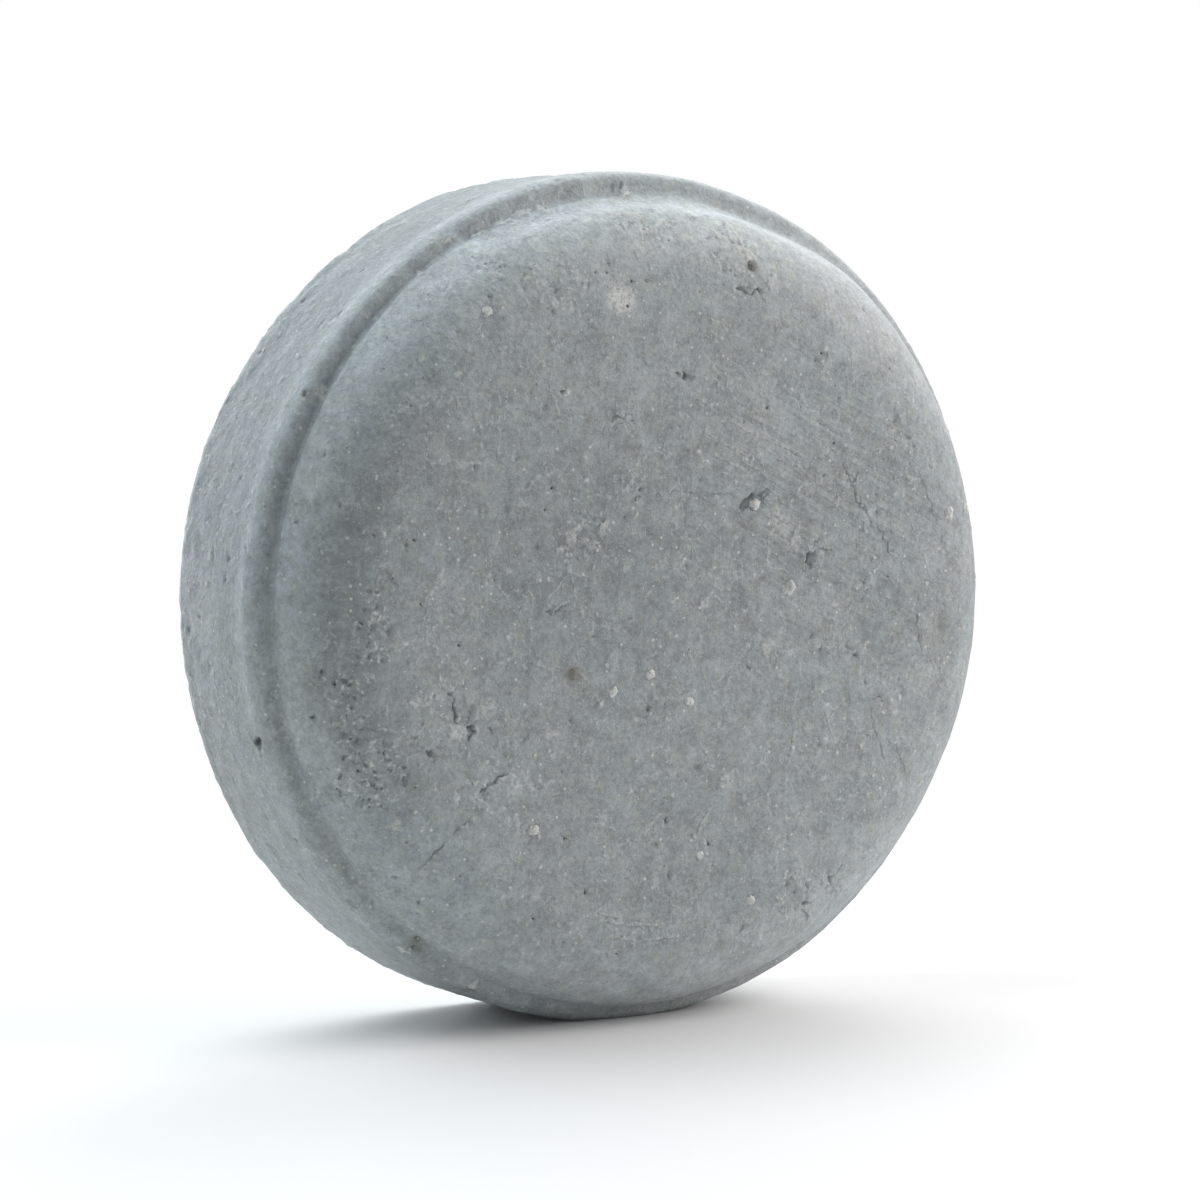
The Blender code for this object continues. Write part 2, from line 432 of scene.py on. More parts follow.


# Pits in the front: right and up, half length and width, turn, depth, darkness of the painted shade on the
# steep side
PITS = (
    ((8, 8.6), (1.15, 0.85), 25, 0.75, 0.35), ((9.3, 9.5), (0.45, 0.3), 35, 0.45, 0.3),
    ((13.9, 3.5), (0.75, 0.5), 60, 0.8, 0.45), ((7, 27.1), (0.75, 0.38), 10, 0.45, 0.3),
    ((8.7, 27), (0.3, 0.28), 0, 0.3, 0.25), ((1.3, 19.6), (0.75, 0.34), -25, 0.5, 0.4),
    ((0.3, 19.9), (0.28, 0.2), -20, 0.3, 0.4), ((4.3, 19.5), (0.25, 0.22), 0, 0.25, 0.3),
    ((-4, 9.3), (0.3, 0.2), 15, 0.3, 0.3), ((-20.6, -9.9), (0.55, 0.32), 70, 0.55, 0.35),
    ((-22.4, -6.6), (0.25, 0.2), 0, 0.35, 0.5), ((-24, -11.9), (0.62, 0.42), -40, 0.45, 0.25),
    ((-19.2, -15.3), (0.62, 0.34), 50, 0.45, 0.3), ((-12.4, 0.1), (0.7, 0.32), 20, 0.3, 0.2),
    ((13.9, -27.1), (0.55, 0.22), 5, 0.5, 0.35), ((16.3, -25.4), (0.26, 0.6), -8, 0.5, 0.3),
    ((-33.2, -4.7), (0.4, 0.26), 80, 0.35, 0.4), ((-29.5, -0.8), (0.3, 0.22), 30, 0.25, 0.3),
    ((-28, -1.2), (0.42, 0.26), 60, 0.3, 0.3), ((-8.2, -2.2), (0.4, 0.18), 40, 0.25, 0.3),
    ((-25.8, -22.4), (0.3, 0.24), 0, 0.25, 0.25),
)

# Pits in the wall and the lip: degrees round, forward, half sizes, turn, depth, darkness of the painted
# shade on the steep side
WALL_PITS = (
    ((-163, 1.9), (0.75, 0.6), -20, 0.55, 0.85), ((-127, 4), (0.55, 0.24), -25, 0.5, 0.5),
    ((-127.6, 4.4), (0.22, 0.5), -20, 0.4, 0.45), ((-116, 3.3), (0.5, 0.22), 10, 0.3, 0.2),
    ((150, 3.6), (0.3, 0.2), 30, 0.25, 0.4),
)

# Cracks in the front: corners, width, depth, lifted side, paleness
CRACKS = (
    (((-6.3, 8.2), (-4.4, 9.2), (-1.6, 9.5), (0.8, 9.9), (3.2, 9.4), (5.6, 9.6)), 0.1, 0.12, 0.05, 0.2),
    (((12.9, 2.2), (13.4, 3), (13.8, 4), (14.9, 4.5), (16, 4.5)), 0.16, 0.45, 0.18, 0.25),
    (((13.7, 4.1), (14.3, 4.9), (14.9, 5.5)), 0.11, 0.28, 0.06, 0.1),
    (((6.4, 27), (7.6, 26.9), (8.6, 27.5), (9.7, 27.9)), 0.14, 0.3, 0.1, 0.3),
    (((-8.3, 15.2), (-7.2, 15.6), (-6.4, 16.2), (-4.2, 16.7)), 0.11, 0.22, 0.08, 0.35),
    (((-22.2, -6.8), (-22, -8.2), (-22, -9), (-20.6, -9.2)), 0.13, 0.35, 0.12, 0.3),
    (((-20.8, -9.3), (-20.1, -9.9), (-20.9, -10.7)), 0.15, 0.4, 0.1, 0.25),
    (((-27.5, -6.9), (-25.2, -7.4), (-23, -6.9), (-20.8, -5.6)), 0.09, 0.1, 0.05, 0.3),
    (((-15.6, -12.6), (-17.3, -13.8), (-18.9, -14.6), (-19.5, -15.9)), 0.13, 0.28, 0.14, 0.4),
    (((-20.2, -17.2), (-21.9, -18.3), (-23.5, -20.2), (-24.6, -21.3)), 0.1, 0.16, 0.1, 0.3),
    (((-14.2, -9.2), (-14.9, -9.9), (-15.2, -10.9)), 0.12, 0.22, 0.08, 0.45),
    (((19.2, 11.6), (18.3, 9.9), (19.2, 8), (21.4, 5.8), (22.8, 3)), 0.1, 0.12, 0.08, 0.2),
    (((13.2, -27.6), (13.7, -27.2), (14.5, -27)), 0.15, 0.35, 0.08, 0.2),
    (((15.9, -26.4), (16.4, -25.6), (16.3, -24.9), (17.4, -24.2), (17.9, -22.9)), 0.14, 0.34, 0.1, 0.3),
    (((12.6, -29.2), (12.8, -28.3), (13.5, -27.7), (14.6, -28.3), (14.8, -29.4)), 0.1, 0.14, 0.1, 0.4),
    (((-30.6, -7.7), (-29.8, -9.2), (-27.8, -9.8)), 0.09, 0.12, 0.04, 0.2),
    (((-13.2, -1.3), (-12.5, -0.4), (-11.2, 0.5)), 0.13, 0.26, 0.1, 0.25),
    (((25.8, 0.8), (25.2, -2), (25.9, -5.2)), 0.1, 0.1, 0.06, 0.2),
    (((14.6, 14.6), (17, 12.2), (18.9, 9.2), (20, 7.2), (21.2, 4.6)), 0.09, 0.1, 0.03, 0.06),
    (((25.2, 13.4), (26, 10.2), (27.6, 6.4), (29.2, 2.6)), 0.09, 0.1, 0.02, 0.05),
    (((20.4, -10.4), (21.4, -13.6), (22.8, -17)), 0.09, 0.1, 0.03, 0.06),
    (((22.6, -12), (23.4, -14.4), (24.6, -16.2)), 0.09, 0.09, 0.06, 0.25),
)

# Fine pale scratches and seams in the front
SCRATCHES = (
    ((3, 17), (7.2, 14.8), (12.2, 12.9)), ((4.6, 17.4), (9.4, 15.2), (13.6, 13.8)),
    ((2.4, 14.6), (5.6, 13.4), (8.8, 11.8)), ((5.4, 12.9), (8.2, 11.5), (11, 10.6)),
    ((2, 11.9), (4, 11.4), (6.2, 10.7)), ((3.6, 12.8), (5.4, 12.1), (7.4, 11)),
    ((6.4, 15.4), (9, 13.8), (11.8, 12.2)), ((7.9, 14), (10.4, 12.4), (12.6, 11.3)),
    ((10.2, 13.2), (12.5, 11.6), (14.4, 10.3)), ((12, 9.4), (14.4, 10.2), (16.8, 10)),
    ((1.5, 8), (1.3, 6), (1.5, 4)), ((-8.6, 7.9), (-7.2, 7.6), (-6.2, 6.6)),
    ((9.4, -3.4), (10.3, -5.2), (9.7, -7)), ((1, -10.6), (-0.6, -11.8), (-2.6, -12.2)),
    ((9.7, -8.6), (8.8, -10.2), (7, -11.2)), ((12.4, -10.4), (11.8, -13.2), (11, -16.4)),
    ((15.2, -9.6), (15.8, -11.6), (16.6, -13.2)), ((4, -17.2), (2.2, -19.6), (1.6, -23)),
    ((-9.4, -26.6), (-5.6, -27.6), (-1.6, -28), (2.4, -27.8)),
    ((-10.2, -25.6), (-6.2, -26.9), (-2.4, -27.2)),
    ((-8, -28.4), (-3.6, -29.2), (1, -29.1), (5.2, -28.4)), ((26.4, -4.6), (27.6, -7.2), (28.4, -9.6)),
    ((24.6, 5.8), (26.2, 3.2), (27, 0.6)), ((-14.6, 11.6), (-15.4, 9.6), (-15.2, 7.8)),
    ((-21, 4), (-19.6, 3.4), (-18, 2.2)),
)

# Torn pale flakes in the front: place, half sizes, turn, lift
FLAKES = (
    ((-10.4, 6.5), (1.1, 0.55), 35, 0.12), ((-9, 5.6), (0.8, 0.5), -20, 0.12),
    ((-7.5, 6.9), (0.75, 0.45), 60, 0.1), ((-11.6, 5.2), (0.65, 0.35), 20, 0.1),
    ((-21.8, -9.9), (0.95, 0.6), -30, 0.12), ((-25.4, -7.3), (0.9, 0.45), 15, 0.09),
    ((12.2, 5.2), (1.15, 0.5), 65, 0.12), ((6.8, 31.6), (0.55, 1), 20, 0.11),
    ((8, 30.1), (0.5, 0.55), 0, 0.1), ((-1.9, 32.2), (0.85, 0.4), 15, 0.1),
    ((-0.7, 32.9), (0.6, 0.3), 30, 0.09), ((3.1, 33.6), (0.6, 0.3), 0, 0.09),
    ((9.9, 27.9), (0.5, 0.65), -30, 0.12), ((6.1, 27.2), (0.5, 0.4), 0, 0.09),
    ((2.8, 0), (0.8, 0.35), 70, 0.06), ((9.2, -4.2), (0.45, 0.95), -15, 0.07),
    ((4.8, -15.6), (0.5, 0.85), 20, 0.06), ((-12.8, -10.6), (0.7, 0.5), 10, 0.08),
    ((-26.8, -17.6), (0.6, 0.45), 0, 0.1),
)

# Torn flakes on the lip and the groove: degrees round, forward, half sizes, turn, lift
LIP_FLAKES = (
    ((127.6, 4.6), (0.55, 0.26), 40, 0.16), ((120.5, 4), (0.5, 0.24), 35, 0.14),
    ((116.6, 4.5), (0.6, 0.26), 25, 0.18), ((112.4, 4.6), (0.9, 0.26), 20, 0.2),
    ((109, 4.5), (1, 0.28), 20, 0.2), ((106, 4.6), (0.7, 0.26), 20, 0.16),
    ((149, 4.2), (0.6, 0.4), 40, 0.1), ((92, 4.6), (0.6, 0.5), 0, 0.28),
    ((-116.5, 3.9), (0.7, 0.34), 0, 0.14), ((-128.2, 3.3), (0.5, 0.34), 0, 0.12),
)

# White crumbs pressed flush into the front
CRUMBS = (
    (-29.3, 0.4), (-21.7, 8.8), (-21.7, -15.5), (-32.3, -14.7), (-23.3, -21.6), (-12.4, -14.6),
    (-17.2, -24.3), (6.7, -24.4), (11.4, -19.2), (17, -18), (16.8, -13.8), (6.3, -32.4),
    (-11, 18.5), (6, 10.5), (-32, -9.6), (-20.1, -14.3), (-31.2, -7.6), (11.9, 11.9),
    (2.2, 13.2), (-15.9, 1.8), (3.9, -5.8), (-4.7, -15.9), (21.9, -16.5), (-9.2, 11),
)

# Pinholes in the front, painted dark inside as painted shade, with the strength of the brown halo round each
PINHOLES = (
    (-6.9, 28.6, 0), (-4.5, 27.9, 0.2), (-5, 25.8, 0), (-11.7, 18.6, 0), (-13.3, 8.6, 0.1),
    (-12.6, 10.4, 0), (-3.9, 10.1, 0), (-4.2, 9.2, 0), (-25.8, 6.4, 0.2), (-30.4, -0.5, 0.2),
    (-25.2, 1, 0.5), (-21.6, -2.6, 0), (-32.3, -5.6, 0.2), (-33.6, -8.4, 0.2), (-30.2, -12.9, 0.2),
    (-25.6, -14.4, 0.8), (-28.3, -14.4, 0.1), (-14.1, -26.4, 0), (-5.4, -28.6, 0.9), (-5.7, -30.1, 0),
    (-9.2, -24.5, 0), (-11.3, -19.6, 0), (-1.1, -18.8, 0.1), (3.3, -21.1, 0), (-3, -9.1, 0),
    (16.4, 13.7, 0.4), (15, 21.6, 0.4), (23.1, 13.8, 0.3), (22.9, 20.2, 0.2), (9.3, 16.9, 0.5),
    (18.6, -5.2, 0.2), (21.3, -9, 0.3),
)

# Wide soft patches: place, half sizes, turn, then how pale, dark and stained each is
PATCHES = (
    ((-5.6, 26.4), (1.7, 1.4), 20, 1, 0, 0), ((10.8, 6.6), (1.2, 2.2), 30, 0.3, 0, 0),
    ((-25.6, -14.4), (0.45, 0.4), 0, 0, 0, 0.9), ((-33.9, -5.6), (0.6, 0.5), 0, 0, 0, 0.7),
    ((28.8, -4.1), (1, 1.4), 0, 0, 0, 0.55), ((8, 28.6), (0.9, 0.8), 0, 0, 0, 0.4),
    ((-31, -6.5), (0.8, 0.6), 0, 0, 0.1, 0.25), ((-26, -13), (2, 1.2), 30, 0, 0.1, 0.15),
    ((20.6, -3), (1.6, 3), 15, 0, 0.1, 0.12), ((23, 0.5), (2, 1.4), -20, 0, 0.12, 0.1),
    ((22.5, 12), (1, 1.8), 0, 0, 0.06, 0.18), ((12.4, -9.2), (0.8, 0.6), 0, 0, 0, 0.25),
    ((25.8, 24), (1, 0.8), 0, 0.15, 0, 0),
)

# Rough spots, torn and full of crumbs: place, half sizes, number of marks, darkness, which sets how deep
# their pits are and how dark their painted shade is
ROUGH_SPOTS = (
    ((-29, -13.2), (2.8, 3), 135, 1), ((-31.2, -8), (1.2, 3.2), 51, 0.8),
    ((-23.6, -8.4), (3.4, 2.8), 51, 0.4), ((6.6, 30.6), (3, 2.2), 51, 0.6),
    ((-2, 32.4), (3.2, 1.4), 45, 0.3), ((-9.8, 6.2), (2.4, 2), 39, 0.3),
    ((-12, 27.5), (3.4, 2.2), 51, 0.3), ((-17, 29.2), (1.2, 1.6), 45, 0.3),
    ((-21.5, 27), (1.6, 0.8), 21, 0.3), ((-29.5, -1.5), (1.6, 4), 39, 0.6),
    ((22, -3), (3.4, 7), 66, 0.3), ((23.5, 12.5), (2.2, 5), 42, 0.3),
    ((-8, -28.6), (8, 2), 66, 0.3), ((12.5, -26), (5, 2), 39, 0.7), ((-16, -14), (5, 4), 51, 0.2),
)


def listed_marks():
    """All marks that have a place of their own, in the order they are cut."""
    marks = []

    def front(place, *shape):
        marks.append(Round(SKIN.front_place(*place), *shape))

    def wall(place, *shape):
        marks.append(Round(SKIN.wall_place(*place), *shape))

    for seed, (place, half, turn, pale, dark, stain) in enumerate(PATCHES):
        front(place, half, turn, 0.0, "patch", 0.1, pale, dark, stain * 0.55, seed)
    for seed, (place, half, turn, lift) in enumerate(FLAKES, 20):
        front(place, half, turn, lift, "flake", 0.3, 0.55, 0.0, 0.0, seed)
    for seed, (place, half, turn, lift) in enumerate(LIP_FLAKES, 50):
        wall(place, half, turn, lift, "flake", 0.45, 1.0, 0.0, 0.0, seed)
    # Cracks and scratches are painted dark inside as painted shade
    for seed, (corners, width, depth, step, pale) in enumerate(CRACKS, 70):
        shape = (width * 0.75, depth * 0.55, step * 1.6, 0.34)
        marks.append(Line(corners, *shape, pale * 2.2, 0.32, 1.6, seed))
    for seed, corners in enumerate(SCRATCHES, 100):
        marks.append(Line(corners, 0.10, 0.05, 0.045, 0.10, 0.60, 0.10, 0.40, seed))
    # The pits are scoops, painted dark on the steep side as painted shade
    for seed, (place, half, turn, depth, dark) in enumerate(PITS, 130):
        dark = min(dark * 1.7, 0.9)
        front(place, half, turn, depth * 0.7, "scoop", 0.3, 0.0, dark, 0.0, seed)
    for seed, (place, half, turn, depth, dark) in enumerate(WALL_PITS, 170):
        wall(place, half, turn, depth, "scoop", 0.25, 0.0, dark, 0.4, seed)
    for seed, place in enumerate(CRUMBS, 200):
        size = 0.17 + 0.12 * (seed % 3) / 2
        half = (size, size * 0.75)
        front(place, half, seed * 37.0, 0.05, "crumb", 0.3, 0.85, 0.0, 0.0, seed)
    # Each pinhole is painted dark inside: painted shade
    for seed, (*place, halo) in enumerate(PINHOLES, 240):
        size = 0.09 + 0.05 * (seed % 3) / 2
        half = (size, size * 0.85)
        halo *= 0.7
        front(place, half, seed * 23.0, 0.14, "pit", 0.1, 0.0, 0.85, halo, seed)
    return marks


def scattered_marks(rng):
    """Small crumbs, pinholes and nicks strewn over the whole puck."""
    marks = []
    # The scattered pits and scoops, and those in the rough spots, are painted dark inside as painted shade
    kinds = (("crumb", 560, 0.08, 0.22, 0.04, 0.85, 0.0), ("pit", 110, 0.07, 0.12, 0.09, 0.0, 0.55),
             ("scoop", 90, 0.14, 0.32, 0.12, 0.0, 0.25), ("flake", 150, 0.16, 0.45, 0.07, 0.45, 0.0))
    for shape, count, small, large, depth, pale, dark in kinds:
        for number in range(count):
            way = SKIN.end * math.sqrt(rng.uniform(0.0, 1.0))
            angle = rng.uniform(0, math.tau)
            size = rng.uniform(small, large)
            half = (size, size * rng.uniform(0.5, 0.95))
            marks.append(Round((way, angle), half, rng.uniform(0, 360), depth, shape, 0.2,
                               pale, dark, seed=1000 + number))
    torn = (("crumb", 0.05, 0.85, 0.0), ("scoop", 0.18, 0.0, 0.32), ("crumb", 0.05, 0.65, 0.0),
            ("flake", 0.09, 0.5, 0.0), ("pit", 0.1, 0.0, 0.5), ("crumb", 0.05, 0.75, 0.0))
    for (right, up), (wide, high), count, darkness in ROUGH_SPOTS:
        for number in range(count):
            reach, bearing = math.sqrt(rng.uniform(0, 1)), rng.uniform(0, math.tau)
            place = (right + wide * reach * math.cos(bearing), up + high * reach * math.sin(bearing))
            shape, depth, pale, dark = torn[number % len(torn)]
            size = 0.08 + 0.2 * rng.uniform(0.0, 1.0) ** 1.6
            half = (size, size * rng.uniform(0.45, 0.9))
            marks.append(Round(SKIN.front_place(*place), half, rng.uniform(0, 360),
                               depth * (0.4 + 0.6 * darkness), shape, 0.3,
                               pale, dark * darkness, seed=2000 + number))
    return marks


# ---- grains

def grain_nodes():
    """Names of the CAD grains, white ones first."""
    return sorted(name for name in NODES if name != "soap_puck")


def grain_places():
    """Way and angle of each grain, from the grain's own box."""
    places = []
    for name in grain_nodes():
        low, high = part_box(name)
        middle = (low + high) / 2 / MM
        places.append(SKIN.front_place(middle.x, middle.z - AXIS_HEIGHT))
    return places


def grain_pockets():
    """A shallow dip round each grain, where the soap was pressed against it."""
    pockets = []
    for seed, (name, place) in enumerate(zip(grain_nodes(), grain_places()), 400):
        low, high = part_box(name)
        half = (high - low) / 2 / MM
        size = (half.x * 1.25, half.z * 1.25)
        pockets.append(Round(place, size, 0.0, 0.03, "bowl", 0.15, seed=seed))
        if name.startswith("brown"):
            blur = (half.x * 0.75, half.z * 0.62)
            pockets.append(Round(place, blur, 0.0, 0.0, "patch", 0.1, 0.0, 0.0, 0.95, seed=seed))
    return pockets


# ---- the cake of soap

def layered(points, scale, octaves, shift):
    """Layered noise, about -1 to 1, at each point; scale is in lumps per millimetre."""
    offset = Vector((shift, 2.7 * shift, 1.3 * shift))
    return np.array([
        noise.fractal(Vector(point) * scale + offset, 1.0, 2.0, octaves, noise_basis="PERLIN_ORIGINAL")
        for point in points
    ])


def merge_places(marks, rng):
    """All the places of the front skin: fine ones at the marks, even ones between."""
    fine = [mark.places() for mark in marks]
    ways = np.concatenate([places[0] for places in fine])
    angles = np.concatenate([places[1] for places in fine])
    keep = (ways > 0) & (ways < SKIN.end - 0.3)
    ways, angles = ways[keep], angles[keep]
    points, _ = SKIN.at(ways, angles)
    # One place, the first, is kept in each small cube of space
    cubes = {}
    for row, cube in enumerate(np.floor(points / (FINE_SPACING * 0.95))):
        cubes.setdefault(tuple(cube), row)
    chosen = list(cubes.values())
    ways, angles, points = ways[chosen], angles[chosen], points[chosen]
    tree = search_tree(points)
    base_ways, base_angles = ring_places(FRONT_SPACING, 0.0, SKIN.end - 0.2, rng)
    base_points, _ = SKIN.at(base_ways, base_angles)
    free = [tree.find(point)[2] > CLUSTER_CLEARANCE for point in base_points]
    count = round(math.tau * SKIN.radius[-1] / RIM_SPACING)
    edge_angles = np.arange(count) * math.tau / count
    ways = np.concatenate([ways, base_ways[free], np.full(count, SKIN.end)])
    angles = np.concatenate([angles, base_angles[free], edge_angles])
    return ways, angles, count


def back_points(rim_points, rng):
    """Even points over the flat back, inside its rim."""
    radius = SKIN.radius[-1]
    rows = round(radius / (BACK_SPACING * ROW_SPACING))
    points = [(0.0, 0.0)]
    for row in range(1, rows):
        ring = radius * row / rows
        count = round(math.tau * ring / BACK_SPACING)
        wander = rng.uniform(-JITTER, JITTER, count) * BACK_SPACING
        for number in range(count):
            angle = (number + 0.5 * (row % 2)) * math.tau / count
            points.append(((ring + wander[number]) * math.cos(angle),
                           (ring + wander[number]) * math.sin(angle)))
    rim_flat = [(point[0], point[2]) for point in rim_points]
    return rim_flat + points


def triangles(flat_points):
    """Triangles over a set of points in the plane."""
    result = geometry.delaunay_2d_cdt([Vector(p) for p in flat_points], [], [], 0, 1e-7)
    source = [ids[0] for ids in result[3]]
    return [[source[corner] for corner in face] for face in result[2]]


def relief(points, normals, ways, field):
    """The unevenness of the hand-pressed cake itself; also its worn area and its tone, which is mostly
    painted light and shade.
    """
    angle = np.arctan2(points[:, 2], points[:, 0])
    wobble = layered(points, 0.055, 2, 3.0)
    lumps = layered(points, 0.3, 3, 11.0)
    pebbled = layered(points, 1.1, 2, 5.0)
    field["move"] += 0.16 * wobble + 0.055 * lumps + 0.03 * pebbled
    back_edge = smooth((ways - SKIN.wall_start - 2.0) / 6.0)
    field["move"] += back_edge * (0.1 * layered(points, 0.55, 3, 23.0) + 0.05 * pebbled)
    for place in grain_places():
        distance = np.linalg.norm(points - SKIN.point(place)[0], axis=1)
        field["move"] *= 1 - bell(distance, 1.6)
    # The groove and the rounds beside it vary round the puck
    valley = SKIN.way_at_groove() + GROOVE_RADIUS * (LIP_TURN - GROOVE_TURN) / 2
    depth = 0.27 + 0.17 * np.cos(angle - math.radians(185)) + 0.2 * layered(points, 0.12, 2, 8.0)
    depth -= 0.22 * bell(np.degrees(angle) - 110.0, 22.0)
    field["move"] -= depth * bell(ways - valley, 0.52)
    upper_left = toward(angle, 128.0, 0.45, 0.5)
    field["move"] += 0.14 * upper_left * bell(ways - valley + 0.85, 0.6)
    field["move"] += 0.26 * upper_left * bell(ways - valley - 1.15, 0.6)
    field["move"] -= 0.7 * toward(angle, 88.0, 0.8, 0.15) * bell(ways - valley + 1.3, 2.0)
    # Slanting scratches lie in the upper right of the front
    field["worn"] = np.exp(-((points[:, 0] - 15.0) ** 2 + (points[:, 2] - 10.0) ** 2) / 13.0 ** 2)
    field["worn"] *= normals[:, 1] < -0.5
    # Painted light and shade, plus a little random tone, set the soap's brightness
    field["tone_with_painted_light"] += paleness_with_painted_light(ways, angle) + 0.05 * wobble


def paleness_with_painted_light(ways, angle):
    """How pale the soap is, much of it painted light and shade: the inner flank and lip on the upper left,
    the top and bottom of the shoulder, the top of the lip and the lower wall are painted paler as if lit,
    and the bend beside the upper-left flank is painted darker as shade; the middle of the front is darker,
    its upper part a little paler, and the back face darker.
    """
    flank = SKIN.way_at_groove()
    radius = np.minimum(ways, flank)
    across, height = radius * np.cos(angle), radius * np.sin(angle)
    middle = np.exp(-((across + 8.0) ** 2 + (height - 5.0) ** 2) / 13.0 ** 2)
    shoulder = bell(ways - flank + 4.0, 5.0)
    inner_flank = bell(ways - flank + 1.8, 2.2)
    bend = bell(ways - flank + 7.5, 3.0)
    upper_left = toward(angle, 155.0, 0.45, 0.5)
    lip = bell(ways - flank - 2.9, 1.5)
    wall = smooth((ways - SKIN.wall_start) / 3.0)
    pale = 0.98 - (0.15 * middle - 0.07 * smooth((height - 8.0) / 14.0)) * (1 - wall)
    # Painted light: the top and bottom of the shoulder are painted paler, as if lit from above and from the
    # floor
    pale += shoulder * (0.42 * np.sin(angle) ** 2 + 0.11 * np.sin(angle) + 0.05 * np.cos(angle))
    # Painted light and shade on the upper left: the inner flank and the lip paler, the bend darker
    pale += (0.3 * inner_flank - 0.09 * bend + 0.26 * lip) * upper_left
    # Painted highlight along the top of the lip
    pale += 0.1 * lip * smooth((np.sin(angle) - 0.3) / 0.5)
    back = smooth((ways - SKIN.end + 1.0) / 1.5)
    # Painted light: the wall is paler towards the bottom. The back face is darker.
    return pale + wall * (0.04 - 0.04 * np.sin(angle)) - 0.22 * back


def make_skin(marks, rng):
    """The fine mesh of the whole cake."""
    ways, angles, rim_count = merge_places(marks, rng)
    points, normals = SKIN.at(ways, angles)
    faces = triangles(SKIN.flat_map(ways, angles))
    rim_rows = list(range(len(ways) - rim_count, len(ways)))
    back_flat = back_points(points[rim_rows], rng)
    extra = np.array([(x, FRONT, z) for x, z in back_flat[rim_count:]])
    rows = rim_rows + list(range(len(ways), len(ways) + len(extra)))
    back_faces = [[rows[corner] for corner in face] for face in triangles(back_flat)]
    points = np.concatenate([points, extra])
    normals = np.concatenate([normals, np.tile([0.0, 1.0, 0.0], (len(extra), 1))])
    ways = np.concatenate([ways, np.full(len(extra), SKIN.end + 5.0)])
    field = {name: np.zeros(len(points)) for name in ("move", "tone_with_painted_light", "pale", "dark", "stain")}
    relief(points, normals, ways, field)
    for mark in marks:
        mark.apply(points, normals, field)
    moved = points + normals * field["move"][:, None]
    moved[:, 2] = np.maximum(moved[:, 2] + AXIS_HEIGHT, 0.0)
    faces = turned_outward(points, normals, faces + back_faces)
    mesh = bpy.data.meshes.new("soap_cake")
    mesh.from_pydata((moved * MM).tolist(), [], faces)
    mesh.shade_smooth()
    for name in ("tone_with_painted_light", "pale", "dark", "stain", "worn"):
        layer = mesh.attributes.new(name, "FLOAT", "POINT")
        layer.data.foreach_set("value", field[name].astype(np.float32))
    return add_object("soap_cake", mesh)


def turned_outward(points, normals, faces):
    """The triangles, each with its corners in the order that makes it face out of the soap."""
    faces = np.array(faces)
    corner = points[faces]
    facing = np.cross(corner[:, 1] - corner[:, 0], corner[:, 2] - corner[:, 0])
    inward = np.einsum("ij,ij->i", facing, normals[faces].sum(1)) <= 0
    faces[inward] = faces[inward, ::-1]
    return faces.tolist()


def make_lump(name, material):
    """A finer, crumbled lump in the place and size of a CAD grain."""
    bm = bmesh.new()
    bm.from_mesh(NODES[name].data)
    bmesh.ops.remove_doubles(bm, verts=bm.verts, dist=1e-6)
    bmesh.ops.subdivide_edges(bm, edges=bm.edges, cuts=3, use_grid_fill=True, smooth=1.0)
    bmesh.ops.triangulate(bm, faces=bm.faces)
    low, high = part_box(name)
    middle = (low + high) / 2
    size = (high - low).length / 2
    for vertex in bm.verts:
        out = vertex.co - middle
        bump = noise.noise(vertex.co / MM * 1.9) * 0.2 + noise.noise(vertex.co / MM * 6.0) * 0.12 + 0.06
        vertex.co = middle + out * (1.0 + bump * size / max(out.length, size * 0.4))
    bmesh.ops.recalc_face_normals(bm, faces=bm.faces)
    mesh = bpy.data.meshes.new("lump_" + name)
    bm.to_mesh(mesh)
    bm.free()
    mesh.shade_smooth()
    mesh.materials.append(material)
    lump = add_object("lump_" + name, mesh)
    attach(lump, "root")
    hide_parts(name)
    return lump


# ---- materials

